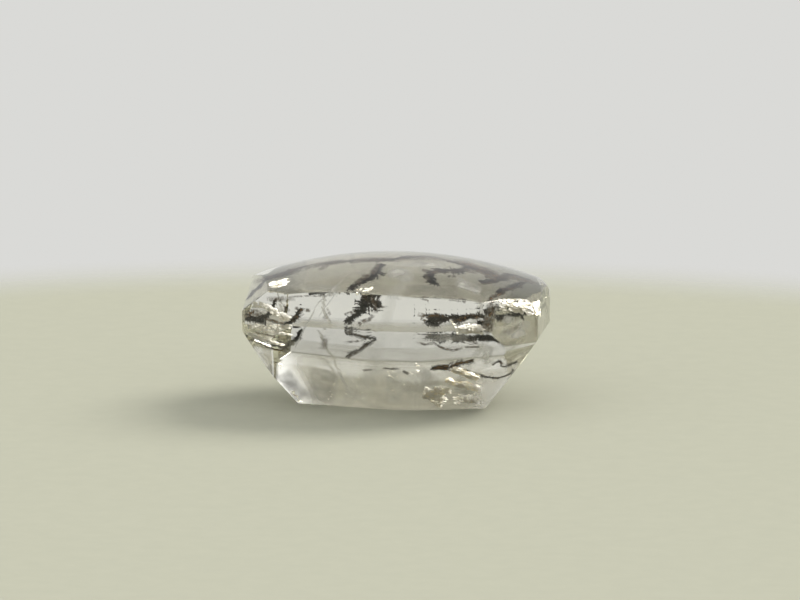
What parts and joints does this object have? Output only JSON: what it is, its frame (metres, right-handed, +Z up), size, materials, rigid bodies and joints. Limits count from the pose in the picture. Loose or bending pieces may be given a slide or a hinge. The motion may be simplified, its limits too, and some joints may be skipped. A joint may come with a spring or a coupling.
{
  "type": "dendritic quartz gemstone",
  "caption": "Cut and polished clear quartz stone with a low domed top and a stepped facet base, resting on a small flat, with dark dendrites sealed inside.",
  "frame": {"origin": "Middle of the small flat that the stone rests on, at the bottom centre of its box.", "axes": "+X runs along the stone's length, with the denser dendrites at that end, +Y runs away from the face seen in front, and +Z is up towards the dome."},
  "size_m": [0.0154, 0.0126, 0.0077],
  "materials": {
    "quartz": "polished",
    "dendrite": "matte"
  },
  "bodies": {
    "root": {"quartz_upper": "quartz", "quartz_lower": "quartz", "dendrite_left": "dendrite", "dendrite_centre": "dendrite", "dendrite_back_stem": "dendrite", "dendrite_right_centre": "dendrite", "dendrite_right_back": "dendrite", "dendrite_right_edge": "dendrite", "dendrite_right_front": "dendrite", "dendrite_far_right": "dendrite"}
  },
  "joints": []
}
